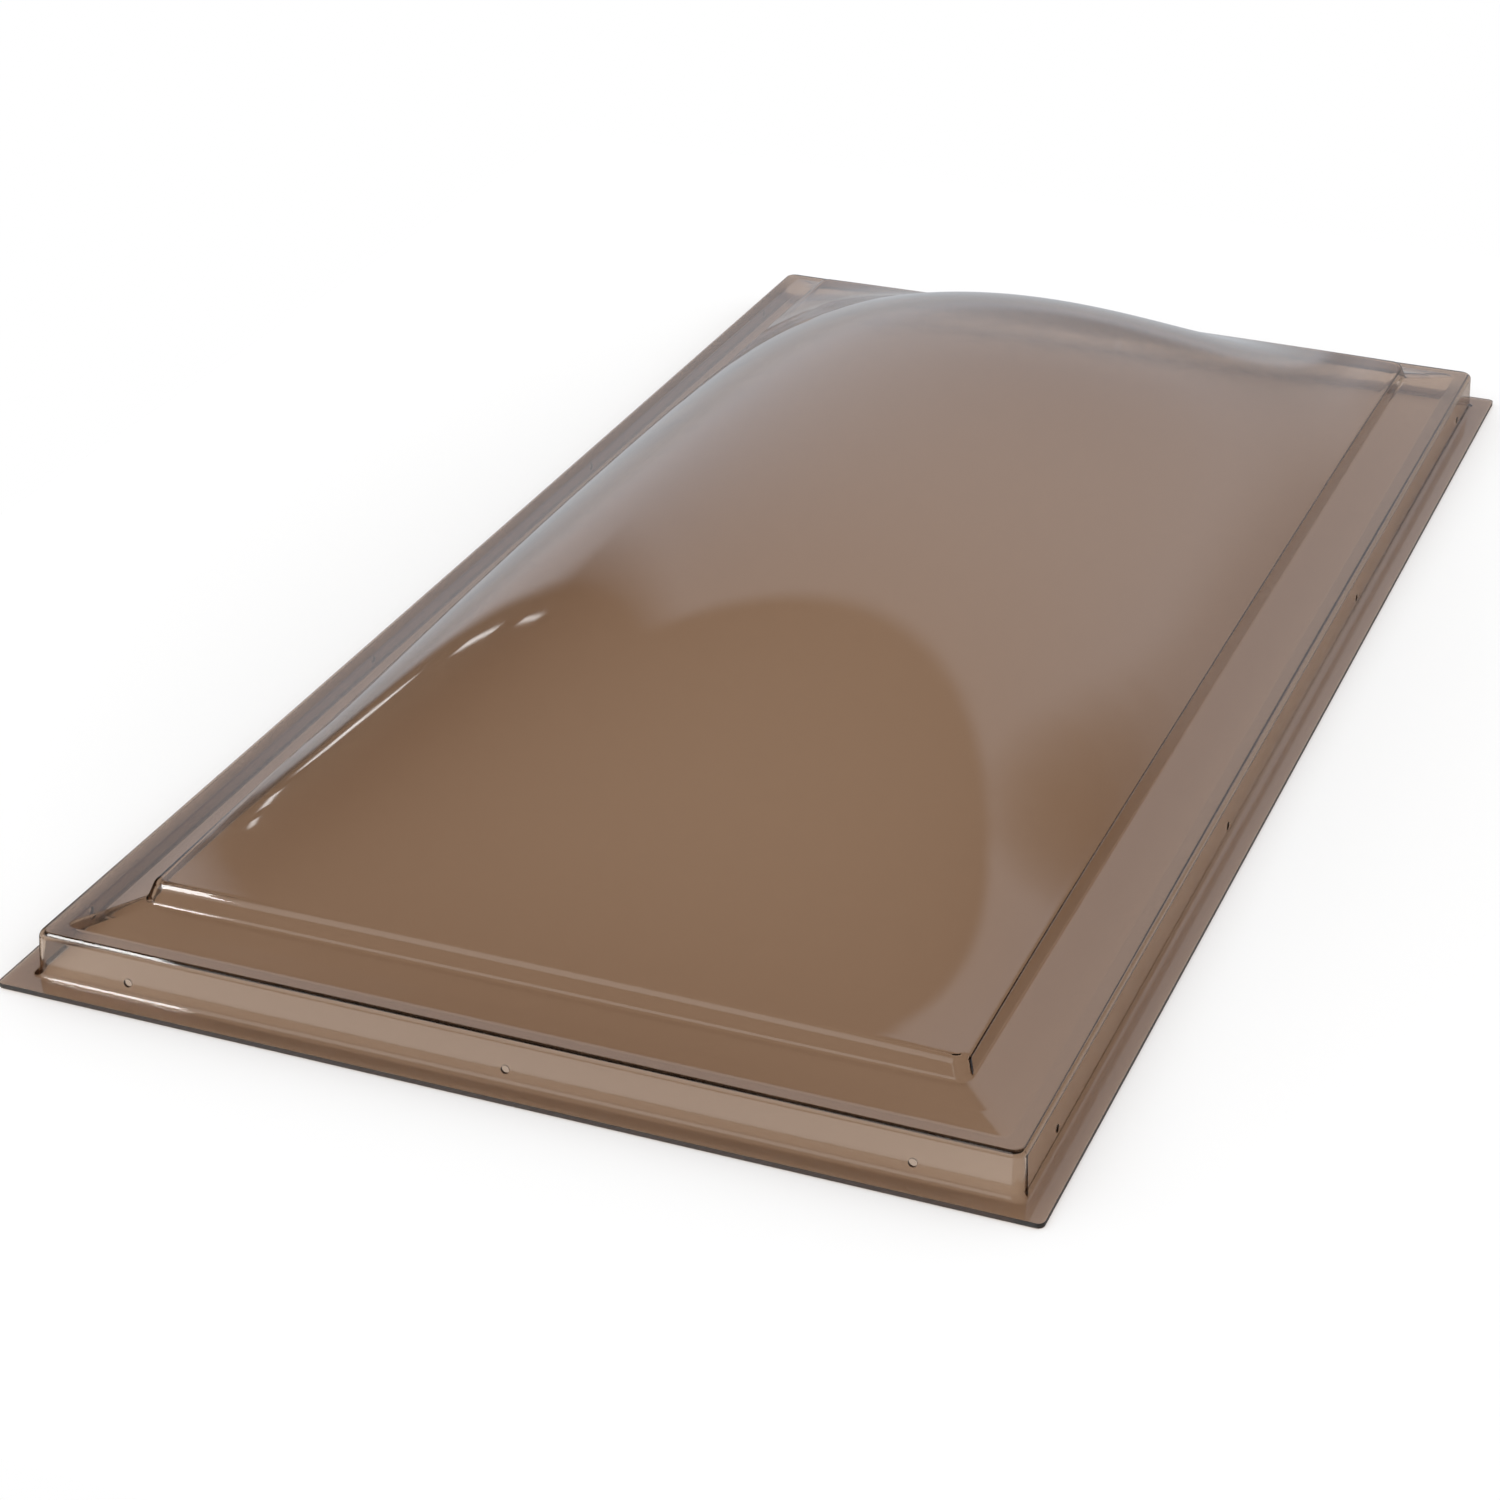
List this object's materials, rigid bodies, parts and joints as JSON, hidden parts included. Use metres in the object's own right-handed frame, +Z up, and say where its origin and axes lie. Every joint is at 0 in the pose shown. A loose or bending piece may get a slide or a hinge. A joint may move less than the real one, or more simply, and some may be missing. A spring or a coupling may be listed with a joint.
{
  "type": "roof skylight",
  "caption": "Domed roof skylight formed from one sheet of bronze-tinted clear plastic, with a stepped shelf, a skirt that fits over a roof curb and a flat flange round its foot.",
  "frame": {"origin": "centre of the flange's underside, where the skylight lies on the roof", "axes": "+X across the skylight, +Y along its length, +Z up through the crown of the dome"},
  "size_m": [0.6044, 1.2142, 0.173],
  "materials": {
    "bronze_sheet": "smooth, glossy, clear plastic sheet with a bronze tint"
  },
  "bodies": {
    "root": {"skylight_dome": "bronze_sheet"}
  },
  "joints": []
}
